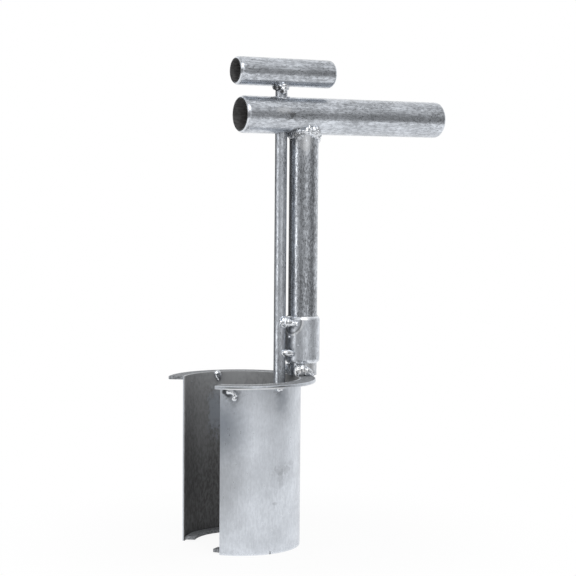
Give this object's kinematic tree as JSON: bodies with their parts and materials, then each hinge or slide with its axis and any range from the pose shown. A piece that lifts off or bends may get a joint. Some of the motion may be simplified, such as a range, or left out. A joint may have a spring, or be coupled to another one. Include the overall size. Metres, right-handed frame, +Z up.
{
  "type": "barrel transplanter",
  "caption": "Slotted steel barrel on a tubular stem with a T handle, and a second handle whose rod slides a push ring inside the barrel to eject the soil plug.",
  "frame": {"origin": "centre of the barrel's mouth, on the plane that the mouth rests on", "axes": "+Z up along the barrel, +X from the slot towards the stem along the handles, +Y to the far side as seen from the front"},
  "size_m": [0.264, 0.135, 0.4423],
  "materials": {
    "barrel_sheet": "satin zinc plating on rolled sheet",
    "tube": "satin zinc plating on drawn tube",
    "rod": "satin zinc plating on drawn bar",
    "weld": "zinc plating over rough weld metal"
  },
  "bodies": {
    "barrel_frame": {"barrel": "barrel_sheet", "flange_ring": "barrel_sheet", "stem": "tube", "main_handle": "tube", "stem_top_weld": "weld", "stem_foot_weld_front": "weld", "stem_foot_weld_back": "weld", "flange_tack_front_left": "weld", "flange_tack_front_right": "weld", "flange_tack_back_left": "weld", "flange_tack_back_right": "weld", "stop_bead_front": "weld", "stop_bead_back": "weld"},
    "ejector": {"push_handle": "tube", "push_rod": "rod", "guide_sleeve": "tube", "push_ring": "barrel_sheet", "push_handle_weld": "weld", "sleeve_weld_upper": "weld", "sleeve_weld_lower": "weld", "rod_foot_weld": "weld"}
  },
  "joints": [
    {"name": "ejector_slide", "type": "slide", "parent": "barrel_frame", "child": "ejector", "axis": [0, 0, 1], "range_m": [0, 0.138]}
  ]
}
